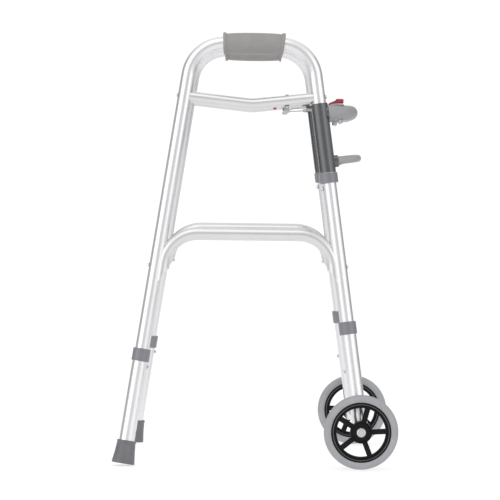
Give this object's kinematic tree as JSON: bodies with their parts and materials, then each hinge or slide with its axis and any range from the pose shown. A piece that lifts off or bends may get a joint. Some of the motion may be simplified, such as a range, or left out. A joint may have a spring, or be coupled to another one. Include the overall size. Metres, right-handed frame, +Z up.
{
  "type": "walking frame",
  "caption": "Folding walking frame with front wheels, telescoping legs, vinyl hand grips and paddle-released folding side frames.",
  "frame": {"origin": "on the floor, under the middle of the bounding box", "axes": "+X forward towards the wheels, +Y to the user's left, +Z up"},
  "size_m": [0.4884, 0.611, 0.743],
  "materials": {
    "anodised_aluminium": "satin anodised, drawn along the tube",
    "rivet_aluminium": "satin",
    "grey_paint": "satin grey coat",
    "charcoal_plastic": "moulded, glossy",
    "grey_plastic": "moulded, satin",
    "grip_vinyl": "soft vinyl, fine grain",
    "tip_rubber": "moulded rubber",
    "wheel_tyre": "solid grey rubber",
    "rim_plastic": "moulded, glossy black",
    "bushing_plastic": "black acetal",
    "zinc_steel": "zinc plated",
    "spring_steel": "bright spring steel",
    "red_plastic": "moulded, glossy red"
  },
  "bodies": {
    "front_frame": {"upper_crossbar": "grey_paint", "lower_cross_brace": "grey_paint", "right_hinge_sleeve": "charcoal_plastic", "right_crossbar_bolts": "zinc_steel", "right_return_spring": "spring_steel", "right_latch_pin": "zinc_steel", "left_hinge_sleeve": "charcoal_plastic", "left_crossbar_bolts": "zinc_steel", "left_return_spring": "spring_steel", "left_latch_pin": "zinc_steel"},
    "right_side_frame": {"right_main_tube": "anodised_aluminium", "right_hand_grip": "grip_vinyl", "right_upper_side_rail": "anodised_aluminium", "right_lower_side_brace": "anodised_aluminium", "right_frame_rivets": "rivet_aluminium", "right_catch_bracket": "zinc_steel", "right_hinge_ring": "grey_plastic", "right_stop_rivet": "zinc_steel", "right_lock_marker": "red_plastic", "right_snap_springs": "spring_steel"},
    "right_front_leg": {"right_front_extension": "anodised_aluminium", "right_front_collar": "grey_plastic", "right_axle_bolt": "zinc_steel", "right_axle_hardware": "zinc_steel"},
    "right_rear_leg": {"right_rear_extension": "anodised_aluminium", "right_rear_collar": "grey_plastic", "right_rear_tip": "tip_rubber", "right_tip_washer": "zinc_steel"},
    "right_wheel": {"right_wheel_rim": "rim_plastic", "right_tyre": "wheel_tyre", "right_wheel_bushings": "bushing_plastic"},
    "right_latch": {"right_latch_lever": "zinc_steel", "right_release_paddle": "red_plastic"},
    "right_front_button": {"right_front_snap_button": "zinc_steel"},
    "right_rear_button": {"right_rear_snap_button": "zinc_steel"},
    "left_side_frame": {"left_main_tube": "anodised_aluminium", "left_hand_grip": "grip_vinyl", "left_upper_side_rail": "anodised_aluminium", "left_lower_side_brace": "anodised_aluminium", "left_frame_rivets": "rivet_aluminium", "left_catch_bracket": "zinc_steel", "left_hinge_ring": "grey_plastic", "left_stop_rivet": "zinc_steel", "left_lock_marker": "red_plastic", "left_snap_springs": "spring_steel"},
    "left_front_leg": {"left_front_extension": "anodised_aluminium", "left_front_collar": "grey_plastic", "left_axle_bolt": "zinc_steel", "left_axle_hardware": "zinc_steel"},
    "left_rear_leg": {"left_rear_extension": "anodised_aluminium", "left_rear_collar": "grey_plastic", "left_rear_tip": "tip_rubber", "left_tip_washer": "zinc_steel"},
    "left_wheel": {"left_wheel_rim": "rim_plastic", "left_tyre": "wheel_tyre", "left_wheel_bushings": "bushing_plastic"},
    "left_latch": {"left_latch_lever": "zinc_steel", "left_release_paddle": "red_plastic"},
    "left_front_button": {"left_front_snap_button": "zinc_steel"},
    "left_rear_button": {"left_rear_snap_button": "zinc_steel"}
  },
  "joints": [
    {"name": "right_fold", "type": "hinge", "parent": "front_frame", "child": "right_side_frame", "pos_m": [0.11143, -0.22343, 0.56], "axis": [0.1371, -0.0691, -0.9881], "range_deg": [0, 90]},
    {"name": "right_latch_press", "type": "hinge", "parent": "front_frame", "child": "right_latch", "pos_m": [0.08385, -0.20074, 0.61499], "axis": [0, 0.9976, -0.0698], "range_deg": [0, 2.7], "stiffness_Nm_per_rad": 4, "springref_deg": -2.86, "deforming": ["right_return_spring"]},
    {"name": "right_front_leg_slide", "type": "slide", "parent": "right_side_frame", "child": "right_front_leg", "axis": [-0.1371, 0.0691, 0.9881], "range_m": [-0.05715, 0.05715]},
    {"name": "right_rear_leg_slide", "type": "slide", "parent": "right_side_frame", "child": "right_rear_leg", "axis": [0.1528, 0.0689, 0.9858], "range_m": [0, 0.1143]},
    {"name": "right_front_button_press", "type": "slide", "parent": "right_side_frame", "child": "right_front_button", "axis": [0.9906, 0.0096, 0.1368], "range_m": [0, 0.0046], "stiffness_N_per_m": 800, "springref_m": -0.003, "deforming": ["right_snap_springs"]},
    {"name": "right_rear_button_press", "type": "slide", "parent": "right_side_frame", "child": "right_rear_button", "axis": [-0.9883, 0.0107, 0.1524], "range_m": [0, 0.0046], "stiffness_N_per_m": 800, "springref_m": -0.003},
    {"name": "right_wheel_spin", "type": "hinge", "parent": "right_front_leg", "child": "right_wheel", "pos_m": [0.17995, -0.29, 0.0635], "axis": [0, 1, 0], "continuous": true},
    {"name": "left_fold", "type": "hinge", "parent": "front_frame", "child": "left_side_frame", "pos_m": [0.11143, 0.22343, 0.56], "axis": [-0.1371, -0.0691, 0.9881], "range_deg": [0, 78]},
    {"name": "left_latch_press", "type": "hinge", "parent": "front_frame", "child": "left_latch", "pos_m": [0.08385, 0.20074, 0.61499], "axis": [0, 0.9976, 0.0698], "range_deg": [0, 2.7], "stiffness_Nm_per_rad": 4, "springref_deg": -2.86, "deforming": ["left_return_spring"]},
    {"name": "left_front_leg_slide", "type": "slide", "parent": "left_side_frame", "child": "left_front_leg", "axis": [-0.1371, -0.0691, 0.9881], "range_m": [-0.05715, 0.05715]},
    {"name": "left_rear_leg_slide", "type": "slide", "parent": "left_side_frame", "child": "left_rear_leg", "axis": [0.1528, -0.0689, 0.9858], "range_m": [0, 0.1143]},
    {"name": "left_front_button_press", "type": "slide", "parent": "left_side_frame", "child": "left_front_button", "axis": [0.9906, -0.0096, 0.1368], "range_m": [0, 0.0046], "stiffness_N_per_m": 800, "springref_m": -0.003, "deforming": ["left_snap_springs"]},
    {"name": "left_rear_button_press", "type": "slide", "parent": "left_side_frame", "child": "left_rear_button", "axis": [-0.9883, -0.0107, 0.1524], "range_m": [0, 0.0046], "stiffness_N_per_m": 800, "springref_m": -0.003},
    {"name": "left_wheel_spin", "type": "hinge", "parent": "left_front_leg", "child": "left_wheel", "pos_m": [0.17995, 0.29, 0.0635], "axis": [0, 1, 0], "continuous": true}
  ]
}
